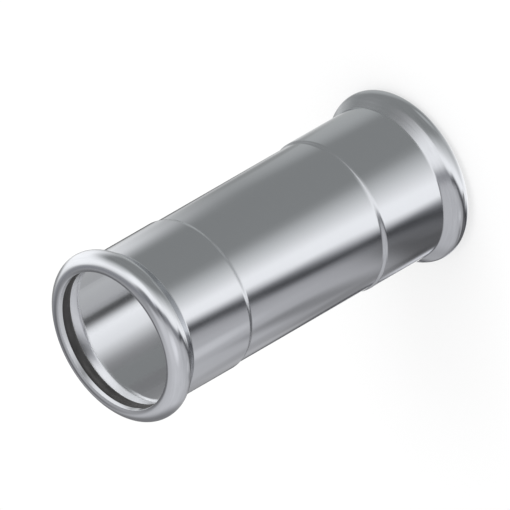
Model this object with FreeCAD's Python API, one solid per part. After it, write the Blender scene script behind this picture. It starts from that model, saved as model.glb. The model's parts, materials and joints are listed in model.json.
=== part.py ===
import FreeCAD, Part
import math
import os

# Press slip coupling: a formed stainless tube with a seal ring rolled into each end.
# It stands on one bead. Its axis is +Z, and the origin is the centre of the circle it stands on.
# Lengths are millimetres. The flank's angle is in degrees, and directions on a bend are in radians.

# Pipe that the coupling slides over, and the sheet that it is formed from
pipe_diameter = 42.0
wall = 1.5

# Radial gaps between the pipe and the waist, the mouths and the seal rings,
# and how much further out each socket stands than the waist
waist_clearance = 0.55
mouth_clearance = 0.4
seal_clearance = 0.35
step_height = 0.45

# Lengths along the axis: the waist, each step, and each socket from its step to its bead's centre
waist_length = 51.8
step_length = 1.8
socket_length = 27.5

# Seal ring's thickness, its gap to the crest of its chamber, and the room beside it
seal_section = 3.5
seal_seat_gap = 0.05
seal_side_room = 0.65

# Slope of the bead's flank against the axis, the bend where it runs into the socket,
# and the rounding of the sheet's cut edge
flank_angle = 36.5
flank_bend = 1.0
edge_break = 0.15

# Radii that follow from these
pipe_radius = pipe_diameter / 2
waist_bore = pipe_radius + waist_clearance
socket_bore = waist_bore + step_height
mouth_bore = pipe_radius + mouth_clearance
seal_centre = pipe_radius + seal_clearance + seal_section / 2
chamber_crest = seal_centre + seal_section / 2 + seal_seat_gap
chamber_bend = seal_section / 2 + seal_side_room
bead_centre = chamber_crest - chamber_bend

# Heights of the two bead centres, the lower one above the foot by the bead's outer bend
lower_bead = chamber_bend + wall
upper_bead = lower_bead + 2 * (socket_length + step_length) + waist_length

# Directions on a bend, as angles that turn from the mouth outwards and on towards the waist
half_turn = math.pi
to_mouth = 0
outwards = half_turn / 2
inwards = -outwards
flank_slope = math.radians(flank_angle)

foot = FreeCAD.Vector(0, 0, 0)
axis = FreeCAD.Vector(0, 0, 1)


def end_of_tube(bead_height, towards_waist):
    """Gives the function that places a point of the section at one end of the coupling.

    Such a point has a radius and a distance along the axis, counted from the bead's centre
    towards the waist. towards_waist is 1 at the lower end and -1 at the upper one.
    """
    def place(radius, along):
        return FreeCAD.Vector(radius, 0, bead_height + towards_waist * along)

    return place


def on_bend(place, centre, bend, angle):
    """Point of a bend of that radius about a centre, in the direction that the angle gives."""
    return place(centre[0] + bend * math.sin(angle), centre[1] - bend * math.cos(angle))


def bend_edge(place, centre, bend, start, end):
    """Arc of the section from one direction to another."""
    points = [on_bend(place, centre, bend, angle) for angle in (start, (start + end) / 2, end)]
    return Part.Arc(*points).toShape()


def straight_edge(start, end):
    """Straight line of the section."""
    return Part.LineSegment(start, end).toShape()


def cut_rounding(offset):
    """Rounding of the cut edge on one side of the sheet, which touches the mouth and the bead.

    It lies outside the bead's bend on the bore side, and within it on the outer side. Returns
    its centre, its direction from the bead's centre, and the direction in which it touches the
    bead's bend, seen from its own centre.
    """
    on_bore_side = offset == 0
    reach = chamber_bend + offset + (edge_break if on_bore_side else -edge_break)
    direction = math.asin((mouth_bore + edge_break - bead_centre) / reach)
    centre = (bead_centre + reach * math.sin(direction), -reach * math.cos(direction))
    return centre, direction, direction - half_turn if on_bore_side else direction


def cut_point(place, offset):
    """Point where the flat of the cut edge meets the rounding of one side of the sheet."""
    centre = cut_rounding(offset)[0]
    return place(mouth_bore, centre[1])


def waist_point(place, offset):
    """Point where one side of the sheet leaves the step and begins the waist."""
    return place(waist_bore + offset, socket_length + step_length)


def bead_and_flank(place, offset):
    """Curled lip, round crest and straight flank of one side, with the bend into the socket."""
    centre = (bead_centre, 0)
    bend = chamber_bend + offset
    leaving = outwards + flank_slope
    crest_end = on_bend(place, centre, bend, leaving)

    # The flank's line meets the socket's line at a corner, which the bend rounds off
    socket_radius = socket_bore + offset
    drop = bead_centre + bend * math.cos(flank_slope) - socket_radius
    corner = bend * math.sin(flank_slope) + drop / math.tan(flank_slope)
    foot_bend = flank_bend + wall - offset
    bend_start = corner + foot_bend * math.tan(flank_slope / 2)
    foot_centre = (socket_radius + foot_bend, bend_start)
    flank_end = on_bend(place, foot_centre, foot_bend, inwards + flank_slope)

    rounding_centre, lip_start, touching = cut_rounding(offset)
    edges = [
        bend_edge(place, rounding_centre, edge_break, inwards, touching),
        bend_edge(place, centre, bend, lip_start, to_mouth),
        bend_edge(place, centre, bend, to_mouth, leaving),
        straight_edge(crest_end, flank_end),
        bend_edge(place, foot_centre, foot_bend, inwards + flank_slope, inwards),
    ]
    return edges, place(socket_radius, bend_start)


def socket_and_step(place, offset, socket_start):
    """Straight socket of one side, and the step of two equal bends down to the waist."""
    turn = 2 * math.atan(step_height / step_length)
    step_bend = step_length / (2 * math.sin(turn))
    socket_side = (socket_bore + offset - step_bend, socket_length)
    waist_side = (waist_bore + offset + step_bend, socket_length + step_length)
    return [
        straight_edge(socket_start, place(socket_bore + offset, socket_length)),
        bend_edge(place, socket_side, step_bend, outwards, outwards + turn),
        bend_edge(place, waist_side, step_bend, inwards + turn, inwards),
    ]


def coupling_section():
    """Face that the body is turned from: one sheet's thickness from mouth to mouth."""
    lower_end = end_of_tube(lower_bead, 1)
    upper_end = end_of_tube(upper_bead, -1)
    edges = []
    for place in (lower_end, upper_end):
        for offset in (0, wall):
            curled, socket_start = bead_and_flank(place, offset)
            edges += curled + socket_and_step(place, offset, socket_start)
        edges.append(straight_edge(cut_point(place, 0), cut_point(place, wall)))
    for offset in (0, wall):
        edges.append(straight_edge(waist_point(lower_end, offset), waist_point(upper_end, offset)))
    return Part.Face(Part.Wire(Part.__sortEdges__(edges)))


def coupling_body():
    """Body turned from its section all the way round the axis."""
    return coupling_section().revolve(foot, axis)


def seal_ring(bead_height):
    """Round rubber ring that lies in a bead, against the crest of its chamber."""
    return Part.makeTorus(seal_centre, seal_section / 2, FreeCAD.Vector(0, 0, bead_height), axis)


pieces = {
    "coupling_body": coupling_body(),
    "seal_ring_bottom": seal_ring(lower_bead),
    "seal_ring_top": seal_ring(upper_bead),
}

os.makedirs("parts", exist_ok=True)
for name, shape in pieces.items():
    shape.exportStep(os.path.join("parts", name + ".step"))
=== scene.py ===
import json
import math

import bpy
import numpy as np
from bpy.props import FloatProperty, FloatVectorProperty, PointerProperty
from mathutils import Matrix, Vector


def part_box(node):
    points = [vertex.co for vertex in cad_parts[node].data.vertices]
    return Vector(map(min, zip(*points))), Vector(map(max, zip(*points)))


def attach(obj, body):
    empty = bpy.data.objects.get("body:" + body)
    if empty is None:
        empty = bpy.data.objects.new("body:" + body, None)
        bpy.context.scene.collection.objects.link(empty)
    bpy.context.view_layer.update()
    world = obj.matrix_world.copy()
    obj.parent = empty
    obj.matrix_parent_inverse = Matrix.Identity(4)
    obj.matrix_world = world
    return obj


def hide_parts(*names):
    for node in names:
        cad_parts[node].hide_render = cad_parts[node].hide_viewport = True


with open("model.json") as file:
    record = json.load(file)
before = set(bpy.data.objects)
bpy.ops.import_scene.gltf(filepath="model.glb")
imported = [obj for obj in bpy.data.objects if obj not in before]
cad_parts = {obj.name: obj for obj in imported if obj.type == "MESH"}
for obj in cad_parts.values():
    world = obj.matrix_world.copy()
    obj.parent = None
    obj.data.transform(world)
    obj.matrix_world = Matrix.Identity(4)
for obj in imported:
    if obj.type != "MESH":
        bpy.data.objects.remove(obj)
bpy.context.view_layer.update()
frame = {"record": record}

# Looks of a press slip coupling: its formed steel body, its two rubber seal rings, and the
# light tent and pale floor that it is shown in. Lengths are metres, angles radians.

bl_info = {
    "name": "Press slip coupling",
    "version": (1, 0, 0),
    "blender": (4, 5, 0),
    "location": "View3D > Sidebar > Coupling",
    "description": "Builds the looks of a press slip coupling round its packed model",
    "category": "Object",
}

HALF_TURN = math.pi
QUARTER_TURN = HALF_TURN / 2
FULL_TURN = 2 * HALF_TURN
millimetre = 0.001

# How finely the surfaces are divided: steps round the axis, points along each stretch of a
# section, and the steps of the light tent and of its panels both ways
TURN_STEPS = 256
CUT_EDGE_POINTS = 6
OUTER_BEAD_POINTS = 84
INNER_BEAD_POINTS = 40
STRAIGHT_POINTS = 2
FLANK_BEND_POINTS = 9
STEP_BEND_POINTS = 6
SEAL_POINTS = 48
TENT_STEPS = (64, 128)
PANEL_STEPS = (32, 8)

# Satin of the sheet, counted in flanks: how steeply it grows where a bend beyond a flank begins
# to fall, and how much the hollow of a bead has from that depth on
BEND_SATIN = 6.0
HOLLOW_SATIN = 2.0
HOLLOW_DEPTH = 0.3 * millimetre

# Texture noise hardly leaves this range, and a bump is that high for a full unit of its noise
NOISE_RANGE = {"From_Min": 0.3, "From_Max": 0.7}
BUMP_HEIGHT = 0.02 * millimetre

# Setting of a Map Range node that runs smoothly from one end to the other
SMOOTH = {"interpolation_type": "SMOOTHSTEP"}

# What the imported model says: the body's box and its middle, the heights of the two beads, where
# the seal rings lie, and the bores
body_low, body_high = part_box("coupling_body")
lower_ring_low, lower_ring_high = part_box("seal_ring_bottom")
upper_ring_low, upper_ring_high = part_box("seal_ring_top")
body_middle = (body_low + body_high) / 2
lower_bead = (lower_ring_low.z + lower_ring_high.z) / 2
upper_bead = (upper_ring_low.z + upper_ring_high.z) / 2
bores = {mount["name"]: mount["dims"] for mount in frame["record"]["mounts"]}


def length(name, description, default):
    """Property that holds a length in metres."""
    return FloatProperty(name=name, description=description, default=default, min=0.0,
                         precision=5, subtype="DISTANCE", unit="LENGTH")


def angle(name, description, default):
    """Property that holds an angle, given here in degrees and kept in radians."""
    return FloatProperty(name=name, description=description, default=math.radians(default),
                         subtype="ANGLE", unit="ROTATION")


def share(name, description, default, highest=1.0):
    """Property that holds a share or a level."""
    return FloatProperty(name=name, description=description, default=default, min=0.0,
                         max=highest, subtype="FACTOR")


def colour(name, description, default):
    """Property that holds a linear colour."""
    return FloatVectorProperty(name=name, description=description, default=default, size=3,
                               min=0.0, max=1.0, subtype="COLOR")


class CouplingSizes(bpy.types.PropertyGroup):
    """Sizes of the coupling's sheet and of its seal rings."""

    wall: length("Wall", "Thickness of the sheet", 1.5 * millimetre)
    crest_radius: length("Crest radius", "Outer radius of each bead", body_high.x)
    mouth_bore: length("Mouth bore", "Radius of each mouth",
                       bores["pipe_mouth_top"]["r_mm"] * millimetre)
    waist_bore: length("Waist bore", "Inner radius of the narrow middle",
                       bores["slip_bore"]["r_mm"] * millimetre)
    waist_length: length("Waist length", "Length of the narrow middle",
                         bores["slip_bore"]["length_mm"] * millimetre)
    step_height: length("Step height", "How much further out a socket stands than the middle",
                        0.45 * millimetre)
    step_length: length("Step length", "Length of the step from a socket down to the middle",
                        1.8 * millimetre)
    flank_slope: angle("Flank slope", "Slope of each bead's flank against the axis", 36.5)
    flank_bend: length("Flank bend", "Bend where a flank runs into its socket", 1.0 * millimetre)
    edge_break: length("Edge break", "Rounding of the cut edge at each mouth", 0.15 * millimetre)


class CouplingFinish(bpy.types.PropertyGroup):
    """Colours and surface of the steel and of the rubber."""

    steel: colour("Steel", "Colour of the stainless steel", (0.635, 0.65, 0.68))
    steel_roughness: share("Steel roughness", "How satin the steel is", 0.13)
    flank_roughness: share("Flank roughness", "How satin a rolled flank is", 0.2)
    forming_lines: share("Forming lines", "Depth of the fine lines round the axis", 0.03)
    rubber: colour("Rubber", "Colour of the seal rings", (0.038, 0.037, 0.037))
    rubber_roughness: share("Rubber roughness", "How matt the seal rings are", 0.5)


class CouplingStudio(bpy.types.PropertyGroup):
    """Light tent and camera."""

    tent_radius: length("Tent radius", "Radius of the round light tent", 0.18)
    band_level: share("Band level", "Brightness of the tent's light band", 1.45, 3.0)
    view_elevation: angle("View elevation", "Height of the camera above the horizon", 35.264)
    view_roll: angle("View roll", "Turn of the camera about its line of sight", -120.0)
    view_width: length("View width", "Width of what the camera sees", 0.14407)


def arc(centre, bend, start, end, count):
    """Round stretch of a section, as points and unit tangents.

    A point is centre + bend (sin a, -cos a), in radius and height, for count angles a that
    run evenly from start up to, and without, end.
    """
    a = np.linspace(start, end, count, endpoint=False)
    points = np.array(centre) + bend * np.column_stack((np.sin(a), -np.cos(a)))
    return points, np.sign(end - start) * np.column_stack((np.cos(a), np.sin(a)))


def straight(start, end, count):
    """Straight stretch of a section: count points from start up to, and without, end."""
    start, end = np.array(start), np.array(end)
    t = np.linspace(0.0, 1.0, count, endpoint=False)[:, None]
    direction = (end - start) / np.linalg.norm(end - start)
    return start + t * (end - start), np.tile(direction, (count, 1))


def on_bend(centre, bend, angle):
    """Point of a section at that angle on a bend: centre + bend (sin angle, -cos angle)."""
    return centre[0] + bend * math.sin(angle), centre[1] - bend * math.cos(angle)


def side_of_sheet(sizes, offset):
    """One side of the sheet, from the cut edge of a mouth to the middle of the waist.

    Offset is the distance from the bore side through the sheet. The result is points of
    radius and distance from the bead's centre, their unit tangents, and whether they lie past
    the flank. The stretches are the rounding of the cut edge, the bead, its straight flank, the
    bend into the socket, the socket, the two equal bends of the step, and half of the waist.
    """
    outer_bend = lower_bead - body_low.z
    bead_radius = sizes.crest_radius - outer_bend
    bead_centre = (bead_radius, 0.0)
    bend = outer_bend - sizes.wall + offset
    on_bore_side = offset == 0.0

    # The rounding of the cut edge touches the mouth's bore and the bead's bend
    reach = bend + (sizes.edge_break if on_bore_side else -sizes.edge_break)
    lip = math.asin((sizes.mouth_bore + sizes.edge_break - bead_radius) / reach)
    rounding = on_bend(bead_centre, reach, lip)
    touching = lip - HALF_TURN if on_bore_side else lip

    # The flank's line meets the socket's line at a corner, which the foot's bend rounds off
    leaving = QUARTER_TURN + sizes.flank_slope
    socket_radius = sizes.waist_bore + sizes.step_height + offset
    drop = bead_radius + bend * math.cos(sizes.flank_slope) - socket_radius
    corner = bend * math.sin(sizes.flank_slope) + drop / math.tan(sizes.flank_slope)
    foot_bend = sizes.flank_bend + sizes.wall - offset
    foot = (socket_radius + foot_bend, corner + foot_bend * math.tan(sizes.flank_slope / 2))
    flank_turn = sizes.flank_slope - QUARTER_TURN
    crest_end = on_bend(bead_centre, bend, leaving)
    flank_end = on_bend(foot, foot_bend, flank_turn)

    # The step is two equal bends, between the socket and the waist
    between_beads = upper_bead - lower_bead
    waist_start = (between_beads - sizes.waist_length) / 2
    socket_end = waist_start - sizes.step_length
    turn = 2 * math.atan(sizes.step_height / sizes.step_length)
    step_bend = sizes.step_length / (2 * math.sin(turn))
    waist_radius = sizes.waist_bore + offset

    up_to_flank = (
        arc(rounding, sizes.edge_break, -QUARTER_TURN, touching, CUT_EDGE_POINTS),
        arc(bead_centre, bend, lip, leaving,
            INNER_BEAD_POINTS if on_bore_side else OUTER_BEAD_POINTS),
        straight(crest_end, flank_end, STRAIGHT_POINTS),
    )
    beyond_flank = (
        arc(foot, foot_bend, flank_turn, -QUARTER_TURN, FLANK_BEND_POINTS),
        straight((socket_radius, foot[1]), (socket_radius, socket_end), STRAIGHT_POINTS),
        arc((socket_radius - step_bend, socket_end), step_bend, QUARTER_TURN,
            QUARTER_TURN + turn, STEP_BEND_POINTS),
        arc((waist_radius + step_bend, waist_start), step_bend, turn - QUARTER_TURN,
            -QUARTER_TURN, STEP_BEND_POINTS),
        straight((waist_radius, waist_start), (waist_radius, between_beads / 2),
                 STRAIGHT_POINTS),
    )
    points, tangents = (np.concatenate(part) for part in zip(*up_to_flank, *beyond_flank))
    before = sum(len(stretch) for stretch, _ in up_to_flank)
    return points, tangents, np.arange(len(points)) >= before


def closed_section(sizes):
    """Closed outline of the sheet: points of radius and height, outward normals, and satin.

    It runs up the outer side and down the bore side. The upper half is the lower half
    mirrored, and a normal is the tangent turned by a quarter to the outside. Satin is 0 on a
    straight tube and 1 on a flank. With f as the fall towards the axis, 1 on a flank, it is f
    up to the flank and f (b - (b - 1) f) beyond it, where b is BEND_SATIN. It is most in the
    hollow of each bead.
    """
    points, tangents, satins = [], [], []
    for offset, order in ((sizes.wall, 1), (0.0, -1)):
        side, along, past_flank = side_of_sheet(sizes, offset)
        fall = np.clip(-along[:, 0] / math.sin(sizes.flank_slope), 0.0, 1.0)
        satin = fall * np.where(past_flank, BEND_SATIN - (BEND_SATIN - 1) * fall, 1.0)
        if offset == 0.0:
            hollow = (side[:, 0] - sizes.waist_bore - sizes.step_height) / HOLLOW_DEPTH
            satin = np.maximum(satin, HOLLOW_SATIN * np.clip(hollow, 0.0, 1.0))
        satins.append(np.concatenate((satin, satin[::-1])))
        lower = side + (0.0, lower_bead)
        upper = side[::-1] * (1, -1) + (0.0, upper_bead)
        upper_along = along[::-1] * (-1, 1)
        points.append(np.concatenate((lower, upper))[::order])
        tangents.append(order * np.concatenate((along, upper_along))[::order])
    points, tangents = np.concatenate(points), np.concatenate(tangents)
    normals = np.column_stack((tangents[:, 1], -tangents[:, 0]))
    return points, normals, np.concatenate(satins)


def every_pair(first, second):
    """Each value of the first row with each of the second, as two flat arrays."""
    return (grid.ravel() for grid in np.meshgrid(first, second, indexing="ij"))


def carried_round(name, points, normals, closed=True):
    """Surface of an outline of radius and height, closed or open, carried round the axis.

    A vertex is (r cos t, r sin t, h) for each point (r, h) and each of the equal turns t. The
    UV map holds the turn as a share of the whole, and the length along the outline in metres.
    """
    rows, steps = len(points), TURN_STEPS
    t = np.arange(steps) * FULL_TURN / steps
    around = np.column_stack((np.cos(t), np.sin(t)))

    def placed(outline):
        """Each point of the outline at each turn."""
        flat = outline[:, None, 0:1] * around[None]
        height = np.repeat(outline[:, 1][:, None, None], steps, axis=1)
        return np.concatenate((flat, height), axis=2).reshape(-1, 3)

    spans = rows if closed else rows - 1
    i, j = every_pair(np.arange(spans), np.arange(steps))
    corner_rows = np.column_stack((i, i, i + 1, i + 1))
    corner_steps = np.column_stack((j, j + 1, j + 1, j))
    faces = (corner_rows % rows) * steps + corner_steps % steps

    mesh = bpy.data.meshes.new(name)
    mesh.from_pydata(placed(points).tolist(), [], faces.tolist())
    gaps = np.linalg.norm(np.roll(points, -1, axis=0) - points, axis=1)
    travelled = np.concatenate(([0.0], np.cumsum(gaps)))
    uv = np.stack((corner_steps / steps, travelled[corner_rows]), axis=2)
    mesh.uv_layers.new(name="sheet").data.foreach_set("uv", uv.ravel())
    mesh.shade_smooth()
    mesh.normals_split_custom_set_from_vertices(placed(normals).tolist())
    piece = bpy.data.objects.new(name, mesh)
    bpy.context.scene.collection.objects.link(piece)
    return piece


class Nodes:
    """Short way to add and join a material's or the world's nodes."""

    def __init__(self, tree):
        self.tree = tree
        tree.nodes.clear()

    def add(self, kind, settings=None, **sockets):
        """Adds a node. A socket's value is a number, a colour, or another node's output."""
        node = self.tree.nodes.new("ShaderNode" + kind)
        for key, value in (settings or {}).items():
            setattr(node, key, value)
        for key, value in sockets.items():
            socket = self.socket(node, key)
            if isinstance(value, bpy.types.NodeSocket):
                self.tree.links.new(value, socket)
            else:
                socket.default_value = value
        return node

    @staticmethod
    def socket(node, key):
        """Input with that name, written with _ for a space, or with that number after in_."""
        if key.startswith("in_"):
            return node.inputs[int(key[3:])]
        return node.inputs[key.replace("_", " ")]

    def maths(self, operation, *values):
        """Result of a Math node."""
        sockets = {f"in_{i}": value for i, value in enumerate(values)}
        return self.add("Math", {"operation": operation}, **sockets).outputs[0]

    def vector(self, operation, *values):
        """Vector result of a Vector Math node."""
        sockets = {f"in_{i}": value for i, value in enumerate(values)}
        return self.add("VectorMath", {"operation": operation}, **sockets).outputs[0]

    def scaled(self, vector, factor):
        """Vector or colour times a number."""
        return self.add("VectorMath", {"operation": "SCALE"}, in_0=vector,
                        Scale=factor).outputs[0]

    def mapped(self, value, settings=None, **ranges):
        """Result of a Map Range node."""
        return self.add("MapRange", settings, Value=value, **ranges).outputs[0]


def new_material(name):
    """Empty material and its nodes."""
    material = bpy.data.materials.new(name)
    material.use_nodes = True
    return material, Nodes(material.node_tree)


def steel_material(finish):
    """Satin stainless steel with faint forming lines round the axis, plainer on the tube.

    The lines are noise that changes fast along the sheet and slowly round it, and they are
    deeper and show more in tone on the rolled beads. Flanks, bends and hollows are more satin
    than the rest, by the mesh's attribute "satin". Soft noise over the whole body varies the
    roughness.
    """
    bead_foot = body_high.x - 2.8 * millimetre
    bead_flank = body_high.x - 1.6 * millimetre
    fine_spacing, rolled_spacing = 0.25 * millimetre, 0.6 * millimetre
    rolled_depth = 3.0
    material, nodes = new_material("satin_stainless_steel")
    place = nodes.add("TexCoord")
    parts = nodes.add("SeparateXYZ", in_0=place.outputs["Object"])
    flat = nodes.add("CombineXYZ", X=parts.outputs["X"], Y=parts.outputs["Y"]).outputs[0]
    around = nodes.vector("NORMALIZE", flat)
    sheet = nodes.add("SeparateXYZ", in_0=place.outputs["UV"])
    radius = nodes.add("VectorMath", {"operation": "LENGTH"}, in_0=flat).outputs["Value"]
    on_bead = nodes.mapped(radius, From_Min=bead_foot, From_Max=bead_flank)
    satin = nodes.add("Attribute", {"attribute_name": "satin"}).outputs["Fac"]

    def lines(spacing, drift):
        """Noise in lines that far apart, which changes the more round the axis, the more drift."""
        along = nodes.maths("DIVIDE", sheet.outputs["Y"], spacing)
        shift = nodes.add("CombineXYZ", Z=along).outputs[0]
        coordinate = nodes.vector("ADD", nodes.scaled(around, drift), shift)
        return nodes.add("TexNoise", Vector=coordinate, Scale=1.0, Detail=3.0).outputs["Fac"]

    fine = lines(fine_spacing, drift=2.0)
    rolled = lines(rolled_spacing, drift=3.0)
    on_bead_alone = nodes.maths("MULTIPLY", on_bead, rolled_depth)
    depth = nodes.maths("MULTIPLY_ADD", rolled, on_bead_alone, fine)
    bump = nodes.add("Bump", Strength=finish.forming_lines, Distance=BUMP_HEIGHT, Height=depth)
    cloud = nodes.add("TexNoise", Vector=place.outputs["Object"], Scale=45.0, Detail=4.0)
    dulled = nodes.mapped(satin, {"clamp": False}, To_Min=finish.steel_roughness,
                          To_Max=finish.flank_roughness)
    uneven = nodes.mapped(cloud.outputs["Fac"], **NOISE_RANGE, To_Min=0.85, To_Max=1.2)
    roughness = nodes.maths("MULTIPLY", dulled, uneven)
    contrast = nodes.mapped(on_bead, To_Min=0.02, To_Max=0.2)
    streak = nodes.maths("SUBTRACT", rolled, 0.5)
    tone = nodes.maths("MULTIPLY_ADD", streak, contrast, 1.0)
    shader = nodes.add("BsdfPrincipled", Base_Color=nodes.scaled((*finish.steel,), tone),
                       Metallic=1.0, Roughness=roughness, Normal=bump.outputs[0])
    nodes.add("OutputMaterial", Surface=shader.outputs[0])
    return material


def rubber_material(finish):
    """Near-black moulded rubber: matt, slightly uneven in tone, with a fine grain."""
    uneven = 0.15
    material, nodes = new_material("seal_rubber")
    place = nodes.add("TexCoord").outputs["Object"]
    cloud = nodes.add("TexNoise", Vector=place, Scale=260.0, Detail=5.0).outputs["Fac"]
    tone = nodes.mapped(cloud, **NOISE_RANGE, To_Min=0.75, To_Max=1.3)
    roughness = nodes.mapped(cloud, To_Min=finish.rubber_roughness * (1 - uneven),
                             To_Max=finish.rubber_roughness * (1 + uneven))
    grain = nodes.add("TexNoise", Vector=place, Scale=2600.0, Detail=2.0).outputs["Fac"]
    bump = nodes.add("Bump", Strength=0.2, Distance=BUMP_HEIGHT, Height=grain)
    shader = nodes.add("BsdfPrincipled", Base_Color=nodes.scaled((*finish.rubber,), tone),
                       Roughness=roughness, Normal=bump.outputs[0])
    nodes.add("OutputMaterial", Surface=shader.outputs[0])
    return material


class COUPLING_OT_body(bpy.types.Operator):
    """Builds the formed steel body, from mouth to mouth, as one sheet's section carried round."""

    bl_idname = "coupling.body"
    bl_label = "Steel body"

    def execute(self, context):
        scene = context.scene
        points, normals, satin = closed_section(scene.coupling_sizes)
        body = carried_round("steel_body", points, normals)
        satin_of_points = body.data.attributes.new("satin", "FLOAT", "POINT")
        satin_of_points.data.foreach_set("value", np.repeat(satin, TURN_STEPS))
        body.data.materials.append(steel_material(scene.coupling_finish))
        # Reflections look past the body, so the bore shows the light tent as the outside does
        body.visible_glossy = False
        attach(body, "root")
        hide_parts("coupling_body")
        return {"FINISHED"}


class COUPLING_OT_seals(bpy.types.Operator):
    """Builds the rubber ring in each bead, a circle carried round the axis."""

    bl_idname = "coupling.seals"
    bl_label = "Seal rings"

    def execute(self, context):
        rubber = rubber_material(context.scene.coupling_finish)
        for name, node in (("lower_seal", "seal_ring_bottom"), ("upper_seal", "seal_ring_top")):
            low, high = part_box(node)
            half_section = (high.z - low.z) / 2
            centre = (high.x - half_section, (low.z + high.z) / 2)
            points, tangents = arc(centre, half_section, 0.0, FULL_TURN, SEAL_POINTS)
            normals = np.column_stack((tangents[:, 1], -tangents[:, 0]))
            ring = carried_round(name, points, normals)
            ring.data.materials.append(rubber)
            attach(ring, "root")
            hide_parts(node)
        return {"FINISHED"}


# Bands of the light tent, each by its angle in degrees from the middle of the grey canopy and
# its share of the band's brightness: grey canopy, light band, dark seam, pale ground cloth.
# Where one of the veils hangs over the seam, its own bands hold.
TENT_BANDS = (
    (0, 0.215), (44, 0.22), (50, 0.26), (84, 0.87), (93, 0.86), (100, 0.17), (103, 0.05),
    (105.5, 0.07), (112, 0.38), (118, 0.44), (180, 0.48),
)
VEILED_BANDS = (
    (0, 0.215), (44, 0.22), (50, 0.26), (80, 0.86), (90, 0.74), (98, 0.29), (106, 0.22),
    (113, 0.25), (125, 0.38), (180, 0.44),
)
SOFT_BANDS = (
    (0, 0.215), (44, 0.22), (50, 0.26), (84, 0.87), (93, 0.80), (99, 0.28), (103, 0.22),
    (107, 0.24), (113, 0.40), (118, 0.44), (180, 0.48),
)
CANOPY_DIRECTION = Vector((0.877, -0.218, -0.428)).normalized()

# Places in the tent, by azimuth and elevation in degrees as the part's middle sees them, then
# the radius and the softness of the edge in degrees. A veil has its own bands, a pull moves the
# bands by so many degrees, and a card has its share of the band's brightness.
VEILS = (((-120, 55, 47, 12), VEILED_BANDS), ((15, 26, 26, 8), SOFT_BANDS))
PULLS = {
    "seam_in_front": ((30, -18, 16, 10), 2),
    "seam_level": ((24, 12, 18, 10), -6),
    "seam_in_middle": ((44, -34, 10, 4), -1.7),
    "seam_at_waist": ((32, -25, 5, 4), -1),
    "seam_under": ((130, -64, 20, 10), 7),
    "seam_over_mouth": ((-22, 60, 13, 6), 4),
    "canopy_front": ((-31, 14, 22, 12), -5),
    "canopy_below": ((28, -64, 12, 6), -5),
}
CARDS = {
    "low_window": ((-122, -51.5, 16, 12), 0.36),
    "low_front": ((-47, -60, 7, 6), 0.36),
    "front_light": ((-38, 50, 14, 8), 0.9),
    "top_shade": ((-138, -35, 5, 5), 0.25),
    "side_light": ((75, -18.5, 5, 4), 0.56),
    "waist_shade": ((124, -29, 6, 6), 0.32),
    "edge_shade": ((131, -38.5, 6, 5), 0.21),
    "dark_below": ((66, -52, 5, 3), 0.18),
    "light_under": ((143, -46, 4, 3), 0.6),
    "card_behind_left": ((-164, 8, 17, 7), 0.24),
    "card_behind_right": ((150, 8, 27, 14), 0.18),
    "dark_card_behind": ((-172, -24, 18, 5), 0.10),
    "card_over_rim": ((180, 41, 7, 7), 0.13),
    "light_overhead": ((60, 78, 12, 8), 0.56),
    "light_over_seam": ((47, 52, 8, 8), 0.72),
    "dark_over_mouth": ((-28, 68, 9, 6), 0.19),
}

# The ground cloth sets in between two angles from the canopy's middle. It grows lighter towards
# the top, up to a limit, and has soft folds. It is dark below a level that leans a little back:
# an axis, and two heights along it, each with its share of the light. It has one long crease,
# the ring between two radii about a place, as far as it is near another place.
GROUND_START, GROUND_FULL = 105, 112
GROUND_RISE = 0.2
GROUND_LIMIT = 1.2
FOLD_DEPTH = 0.24
DARK_GROUND = (Vector((0, 0.1, 1)), (-0.655, 0.28), (-0.6, 1.0))
CREASE = ((128.5, 33.4, 73.5, 3), (128.5, 33.4, 66, 3), (108, -34, 17, 5))
CREASE_DEPTH = 0.45

# Tint of the cloth by the same angle: greenish canopy, plain light band, bluish seam
TINTS = (
    (0, (0.975, 1.0, 0.988)), (50, (0.975, 1.0, 0.988)), (75, (1.0, 1.0, 1.0)),
    (95, (1.0, 0.998, 1.0)), (103, (0.93, 0.94, 1.0)), (112, (0.985, 0.98, 1.0)),
    (180, (0.985, 0.98, 1.0)),
)

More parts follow.
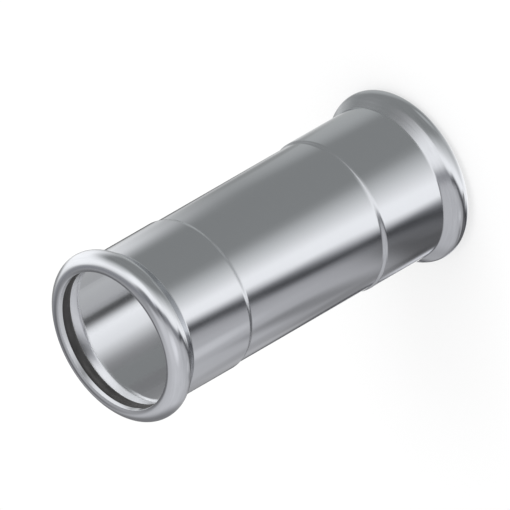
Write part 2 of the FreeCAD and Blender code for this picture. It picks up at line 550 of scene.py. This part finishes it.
# Panels of light round the part, each with what light_panel asks for: azimuths in degrees, the
# radius and height of two edges in millimetres, levels along the way round, fades, and the side
# that it is shown from. Those in the bore stand just inside its wall, and two lie flat across the
# mouth. These paint the reflections that the bore, the cut edge and the bead's hollow show: the
# light ones are painted highlights and the dark ones painted shade. The upright ones shown from
# their back lie so near the wall that they set the tone which the wall shows there.
PANELS = {
    "side_window": ((-143, -80), ((85, 6), (85, 210)),
                    ((0, 0.92), (1, 0.92)),
                    (0.22, 0.5, 0.44, 0.3), "both"),
    "front_awning": ((-78, -2), ((72, 62), (150, 62)),
                     ((0, 0.24), (0.24, 0.26), (0.39, 0.35), (0.57, 0.52), (0.72, 0.74),
                      (0.9, 0.86), (1, 0.86)),
                     (0.15, 0.15, 0.2, 0.2), "back"),
    # From here on, panels in the mouth and the bore: painted reflections and painted shade of the
    # bore, the cut edge and the bead's hollow
    "light_in_mouth": ((105, 230), ((12, 114), (19.5, 114)),
                       ((0, 0.79), (0.28, 0.79), (0.39, 0.82), (0.46, 0.73), (0.54, 0.29),
                        (0.6, 0.5), (0.66, 0.65), (0.74, 0.53), (0.82, 0.5), (1, 0.44)),
                       (0.1, 0.1, 0.1, 0.1), "front"),
    "light_in_bead": ((150, 208), ((15.5, 116), (21, 116)),
                      ((0, 0.85), (0.22, 0.92), (0.34, 1), (0.42, 0.88), (0.47, 0.45),
                       (0.51, 0.1), (0.55, 0), (0.62, 0), (0.67, 0.25), (0.72, 0.5),
                       (0.8, 0.75), (1, 0.6)),
                      (0.1, 0.1, 0.2, 0.05), "back"),
    "glow_in_bore": ((-66, 46), ((21, 50), (21, 100)),
                     ((0, 0.2), (0.18, 0.24), (0.29, 0.32), (0.38, 0.45), (0.49, 0.6),
                      (0.59, 0.75), (0.79, 0.82), (0.9, 0.87), (1, 0.87)),
                     (0.1, 0.1, 0.1, 0.1), "front"),
    "seam_in_bore": ((37, 87), ((21, 50), (21, 100)),
                     ((0, 0.88), (0.1, 0.83), (0.23, 0.67), (0.33, 0.45), (0.44, 0.2),
                      (0.51, 0.07), (0.6, 0.05), (0.74, 0.05), (0.8, 0.15), (0.88, 0.35),
                      (1, 0.45)),
                     (0.1, 0.1, 0.1, 0.1), "front"),
    "shade_in_bore": ((-172, -112), ((21, 50), (21, 94)),
                      ((0, 0.22), (0.3, 0.19), (1, 0.19)),
                      (0.08, 0.1, 0.1, 0.06), "front"),
    "grey_in_bore": ((86, 172), ((21, 50), (21, 104)),
                     ((0, 0.4), (0.4, 0.43), (0.62, 0.455), (0.8, 0.41), (1, 0.42)),
                     (0.1, 0.1, 0.1, 0.1), "front"),
    "shade_at_wall": ((118, 134), ((21, 88), (21, 109)),
                      ((0, 0.24), (0.6, 0.22), (1, 0.2)),
                      (0.05, 0.2, 0.15, 0.05), "back"),
    "grey_at_wall": ((-133, -118), ((21, 88), (21, 109)),
                     ((0, 0.36), (1, 0.36)),
                     (0.15, 0.05, 0.15, 0.05), "back"),
}


def direction(azimuth, elevation):
    """Unit vector to an azimuth and elevation in degrees, azimuth 0 along -Y, 90 along -X."""
    a, e = math.radians(azimuth), math.radians(elevation)
    return Vector((-math.sin(a) * math.cos(e), -math.cos(a) * math.cos(e), math.sin(e)))


def half_turns(degrees):
    """Angle in degrees as a share of the half turn, which is a place on the tent's ramps."""
    return degrees / 180


def tent_material(studio):
    """Cloth of the light tent: bands by the angle from the canopy's direction, and its cards.

    The cloth's colour depends on nothing but the direction from the part's middle.
    """
    material, nodes = new_material("tent_cloth")
    place = nodes.add("TexCoord").outputs["Object"]
    outward = nodes.vector("NORMALIZE", nodes.vector("SUBTRACT", place, body_middle[:]))

    def cosine_to(towards):
        """Cosine of the angle to that direction."""
        return nodes.add("VectorMath", {"operation": "DOT_PRODUCT"}, in_0=outward,
                         in_1=towards[:]).outputs["Value"]

    def cover(azimuth, elevation, radius, softness):
        """How far the direction lies in that place: 1 within its soft edge and 0 beyond."""
        outer_edge = math.cos(math.radians(radius + softness))
        inner_edge = math.cos(math.radians(radius - softness))
        return nodes.mapped(cosine_to(direction(azimuth, elevation)), SMOOTH,
                            From_Min=outer_edge, From_Max=inner_edge)

    def banded(bands):
        """Levels or colours of those bands at the angle that the pulls have changed."""
        ramp = nodes.add("ValToRGB", Fac=turned)
        set_stops(ramp.color_ramp, [(half_turns(degrees), level) for degrees, level in bands])
        return ramp.outputs["Color"]

    def covered(cloth, place_and_edge, colour_there):
        """Cloth with another colour over that place."""
        return nodes.add("MixRGB", Fac=cover(*place_and_edge), Color1=cloth,
                         Color2=colour_there).outputs[0]

    # Angle from the canopy's middle with the pulls, then the bands and the veils over them
    turned = nodes.maths("ARCCOSINE", cosine_to(CANOPY_DIRECTION))
    turned = nodes.maths("DIVIDE", turned, HALF_TURN)
    for place_and_edge, pull in PULLS.values():
        turned = nodes.maths("MULTIPLY_ADD", cover(*place_and_edge), half_turns(pull), turned)
    cloth = banded(TENT_BANDS)
    for place_and_edge, bands in VEILS:
        cloth = covered(cloth, place_and_edge, banded(bands))

    # Rise, folds and crease of the ground cloth
    on_ground = nodes.mapped(turned, From_Min=half_turns(GROUND_START),
                             From_Max=half_turns(GROUND_FULL))
    height = cosine_to(Vector((0, 0, 1)))
    slope = nodes.maths("MULTIPLY", on_ground, GROUND_RISE)
    rise = nodes.maths("MULTIPLY_ADD", height, slope, 1.0)
    rise = nodes.maths("MINIMUM", rise, GROUND_LIMIT)
    folds = nodes.add("TexNoise", Vector=outward, Scale=3.0, Detail=4.0).outputs["Fac"]
    folds = nodes.maths("MULTIPLY", nodes.maths("SUBTRACT", folds, 0.5), on_ground)
    rise = nodes.maths("MULTIPLY", rise, nodes.maths("MULTIPLY_ADD", folds, FOLD_DEPTH, 1.0))
    outer, inner, near = (cover(*place_and_edge) for place_and_edge in CREASE)
    crease = nodes.maths("MULTIPLY", nodes.maths("SUBTRACT", outer, inner), near)
    crease = nodes.maths("MULTIPLY_ADD", crease, -CREASE_DEPTH, 1.0)
    cloth = nodes.scaled(cloth, nodes.maths("MULTIPLY", rise, crease))

    # Cards over all that, then the ground's dark part, and the tint last
    for place_and_edge, level in CARDS.values():
        cloth = covered(cloth, place_and_edge, (level, level, level, 1.0))
    up, (low, darkest), (high, clear) = DARK_GROUND
    dimmed = nodes.mapped(cosine_to(up), SMOOTH, From_Min=low, From_Max=high,
                          To_Min=darkest, To_Max=clear)
    dimmed = nodes.maths("MULTIPLY", nodes.maths("SUBTRACT", dimmed, 1.0), on_ground)
    cloth = nodes.scaled(cloth, nodes.maths("ADD", dimmed, 1.0))
    cloth = nodes.vector("MULTIPLY", cloth, banded(TINTS))
    glow = nodes.add("Emission", Color=cloth, Strength=studio.band_level)
    nodes.add("OutputMaterial", Surface=glow.outputs[0])
    material.cycles.emission_sampling = "NONE"
    return material


def panel_material(studio, name, levels, fades, shown_from):
    """Light of a panel by its UV map, which holds the shares of the way round and across."""
    material, nodes = new_material(name)
    shares = nodes.add("SeparateXYZ", in_0=nodes.add("TexCoord").outputs["UV"])
    borders = (("X", 0), ("X", 1), ("Y", 0), ("Y", 1))
    cover = 1.0
    for (way, border), fade in zip(borders, fades):
        inside = nodes.mapped(shares.outputs[way], SMOOTH, From_Min=border,
                              From_Max=abs(border - fade))
        cover = nodes.maths("MULTIPLY", inside, cover)
    if shown_from != "both":
        behind = nodes.add("NewGeometry").outputs["Backfacing"]
        before = nodes.maths("SUBTRACT", 1.0, behind)
        cover = nodes.maths("MULTIPLY", cover, before if shown_from == "front" else behind)
    ramp = nodes.add("ValToRGB", Fac=shares.outputs["X"])
    set_stops(ramp.color_ramp, levels)
    glow = nodes.add("Emission", Color=ramp.outputs["Color"], Strength=studio.band_level)
    clear = nodes.add("BsdfTransparent")
    mixed = nodes.add("MixShader", in_0=cover, in_1=clear.outputs[0], in_2=glow.outputs[0])
    nodes.add("OutputMaterial", Surface=mixed.outputs[0])
    material.cycles.emission_sampling = "NONE"
    return material


def light_panel(studio, name, azimuths, edges, levels, fades, shown_from):
    """Panel of light that runs round the part's axis, and that only reflections see.

    It lies between two circles about the axis, whose radius and height the edges give, from
    one azimuth to another. A vertex is (-r sin a, -r cos a, h), where r and h change evenly
    across. The levels are stops along the way round. Each fade is the share of the way over
    which a border fades out: start, end, first and second edge. A panel is shown from its
    front, its back or both: an upright one faces the axis, a flat one up.
    """
    steps, rows = PANEL_STEPS
    around, across = every_pair(np.linspace(0, 1, steps + 1), np.linspace(0, 1, rows + 1))
    start, end = np.radians(azimuths)
    a = start + (end - start) * around
    (first_radius, first_height), (second_radius, second_height) = edges
    r = first_radius + (second_radius - first_radius) * across
    h = first_height + (second_height - first_height) * across
    vertices = np.column_stack((-r * np.sin(a), -r * np.cos(a), h)) * millimetre
    i, j = every_pair(np.arange(steps), np.arange(rows))
    corner, next_step = i * (rows + 1) + j, (i + 1) * (rows + 1) + j
    faces = np.column_stack((corner, next_step, next_step + 1, corner + 1))

    material = panel_material(studio, name + "_light", levels, fades, shown_from)
    panel = stage_piece(name, vertices.tolist(), faces.tolist(), material)
    uv = panel.data.uv_layers.new(name="shares")
    uv.data.foreach_set("uv", np.column_stack((around, across))[faces.ravel()].ravel())
    only_reflected(panel)


def set_stops(ramp, stops):
    """Fills a colour ramp with grey levels or colours at places from 0 to 1."""
    colours = [(place, (*np.broadcast_to(tone, 3).tolist(), 1.0)) for place, tone in stops]
    for end in (0, -1):
        ramp.elements[end].position, ramp.elements[end].color = colours[end]
    for place, tone in colours[1:-1]:
        ramp.elements.new(place).color = tone


def only_reflected(piece):
    """Lets nothing but reflections see a piece of the stage."""
    piece.visible_camera = False
    piece.visible_diffuse = False
    piece.visible_shadow = False


def reflected_skin(scene):
    """Skin just under the body's outer side, which only reflections see, and only from outside.

    It takes the body's place there, so that a flank shows the socket beside it.
    """
    material, nodes = new_material("reflected_steel")
    finish = scene.coupling_finish
    shine = nodes.add("BsdfGlossy", Color=(*finish.steel, 1.0), Roughness=finish.steel_roughness)
    clear = nodes.add("BsdfTransparent")
    behind = nodes.add("NewGeometry").outputs["Backfacing"]
    mixed = nodes.add("MixShader", in_0=behind, in_1=shine.outputs[0], in_2=clear.outputs[0])
    nodes.add("OutputMaterial", Surface=mixed.outputs[0])
    points, normals, _ = closed_section(scene.coupling_sizes)
    outer = slice(0, len(points) // 2)
    depth = 0.03 * millimetre
    skin = carried_round("reflected_skin", points[outer] - depth * normals[outer],
                         normals[outer], closed=False)
    skin.data.materials.append(material)
    only_reflected(skin)


def floor_material():
    """White floor that keeps a soft shadow: part of it glows white, and the rest is lit."""
    glowing_part = 0.6
    material, nodes = new_material("white_floor")
    lit = nodes.add("BsdfDiffuse", Color=(0.95, 0.95, 0.95, 1.0))
    glow = nodes.add("Emission", Color=(1.0, 1.0, 1.0, 1.0), Strength=1.0)
    path = nodes.add("LightPath")
    seen = nodes.maths("ADD", path.outputs["Is Camera Ray"], path.outputs["Is Glossy Ray"])
    seen = nodes.maths("ADD", seen, path.outputs["Is Transmission Ray"])
    share_of_glow = nodes.maths("MULTIPLY", nodes.maths("MINIMUM", seen, 1.0), glowing_part)
    mixed = nodes.add("MixShader", in_0=share_of_glow, in_1=lit.outputs[0],
                      in_2=glow.outputs[0])
    nodes.add("OutputMaterial", Surface=mixed.outputs[0])
    return material


def stage_piece(name, vertices, faces, material):
    """Mesh that belongs to the stage."""
    mesh = bpy.data.meshes.new(name)
    mesh.from_pydata(vertices, [], faces)
    mesh.materials.append(material)
    piece = bpy.data.objects.new(name, mesh)
    bpy.context.scene.collection.objects.link(piece)
    return piece


def light_tent(studio):
    """Closed round tent about the coupling's middle, which only reflections see.

    A vertex is centre + radius (sin a cos t, sin a sin t, cos a) for each pair of the angle a
    from the top and the turn t, and each pole is one vertex.
    """
    rows, steps = TENT_STEPS
    a, t = every_pair(np.arange(1, rows) * HALF_TURN / rows,
                      np.arange(steps) * FULL_TURN / steps)
    ball = np.column_stack((np.sin(a) * np.cos(t), np.sin(a) * np.sin(t), np.cos(a)))
    poles = ((0, 0, 1), (0, 0, -1))
    vertices = np.array(body_middle) + studio.tent_radius * np.concatenate((ball, poles))
    i, j = every_pair(np.arange(rows - 2), np.arange(steps))
    k = (j + 1) % steps
    sides = np.column_stack((i * steps + j, (i + 1) * steps + j, (i + 1) * steps + k,
                             i * steps + k))
    j = np.arange(steps)
    k = (j + 1) % steps
    last_row, top = (rows - 2) * steps, (rows - 1) * steps
    upper_cap = np.column_stack((np.full(steps, top), j, k))
    lower_cap = np.column_stack((np.full(steps, top + 1), last_row + k, last_row + j))
    faces = sides.tolist() + upper_cap.tolist() + lower_cap.tolist()
    tent = stage_piece("light_tent", vertices.tolist(), faces, tent_material(studio))
    only_reflected(tent)


def white_floor():
    """Flat floor at height 0, which reflections look past."""
    reach = 3.0
    corners = [(x, y, 0.0) for x, y in ((-reach, -reach), (reach, -reach), (reach, reach),
                                        (-reach, reach))]
    floor = stage_piece("floor", corners, [(0, 1, 2, 3)], floor_material())
    floor.visible_glossy = False


def soft_lamp(scene):
    """Large round lamp, turned to the part, which lights the rubber and throws the shadow."""
    lamp_data = bpy.data.lights.new("soft_lamp", "AREA")
    lamp_data.shape = "DISK"
    lamp_data.size = 0.5
    lamp_data.energy = 1.6
    lamp = bpy.data.objects.new("soft_lamp", lamp_data)
    lamp.location = (0.35, -0.25, 0.7)
    lamp.rotation_euler = lamp.location.to_track_quat("Z", "Y").to_euler()
    lamp.visible_camera = False
    lamp.visible_glossy = False
    scene.collection.objects.link(lamp)


def white_world(scene):
    """Plain white world behind the floor."""
    world = bpy.data.worlds.new("studio_world")
    world.use_nodes = True
    nodes = Nodes(world.node_tree)
    backdrop = nodes.add("Background", Color=(1.0, 1.0, 1.0, 1.0), Strength=1.0)
    nodes.add("OutputWorld", Surface=backdrop.outputs[0])
    scene.world = world


def view_camera(scene, studio):
    """Camera without perspective, which looks down at the aim, rolled about its line of sight."""
    aim = Vector((0.95, -25.40, 78.375)) * millimetre
    distance = 1.0
    camera_data = bpy.data.cameras.new("camera")
    camera_data.type = "ORTHO"
    camera_data.ortho_scale = studio.view_width
    camera = bpy.data.objects.new("camera", camera_data)
    turn = (Matrix.Rotation(QUARTER_TURN - studio.view_elevation, 4, "X")
            @ Matrix.Rotation(studio.view_roll, 4, "Z"))
    back = Matrix.Translation((0, 0, distance))
    camera.matrix_world = Matrix.Translation(aim) @ turn @ back
    scene.collection.objects.link(camera)
    scene.camera = camera


class COUPLING_OT_studio(bpy.types.Operator):
    """Sets up the light tent, its panels, the floor, the lamp, the world and the camera."""

    bl_idname = "coupling.studio"
    bl_label = "Studio"

    def execute(self, context):
        scene = context.scene
        studio = scene.coupling_studio
        light_tent(studio)
        for name, panel in PANELS.items():
            light_panel(studio, name, *panel)
        reflected_skin(scene)
        white_floor()
        soft_lamp(scene)
        white_world(scene)
        view_camera(scene, studio)
        scene.view_settings.view_transform = "Standard"
        return {"FINISHED"}


class COUPLING_PT_panel(bpy.types.Panel):
    """Lists the coupling's pieces and settings."""

    bl_label = "Press slip coupling"
    bl_space_type = "VIEW_3D"
    bl_region_type = "UI"
    bl_category = "Coupling"

    def draw(self, context):
        for group in (context.scene.coupling_sizes, context.scene.coupling_finish,
                      context.scene.coupling_studio):
            box = self.layout.box()
            for name in group.__annotations__:
                box.prop(group, name)
        for operator in OPERATORS:
            self.layout.operator(operator.bl_idname)


OPERATORS = (COUPLING_OT_body, COUPLING_OT_seals, COUPLING_OT_studio)
GROUPS = {
    "coupling_sizes": CouplingSizes,
    "coupling_finish": CouplingFinish,
    "coupling_studio": CouplingStudio,
}
CLASSES = (*GROUPS.values(), *OPERATORS, COUPLING_PT_panel)


def register():
    """Registers the classes and gives the scene its groups of properties."""
    for item in CLASSES:
        bpy.utils.register_class(item)
    for name, group in GROUPS.items():
        setattr(bpy.types.Scene, name, PointerProperty(type=group))


def unregister():
    """Takes away what register added."""
    for name in GROUPS:
        delattr(bpy.types.Scene, name)
    for item in reversed(CLASSES):
        bpy.utils.unregister_class(item)


def main():
    """Builds every piece and the studio."""
    register()
    bpy.ops.coupling.body()
    bpy.ops.coupling.seals()
    bpy.ops.coupling.studio()


if __name__ == "__main__":
    main()
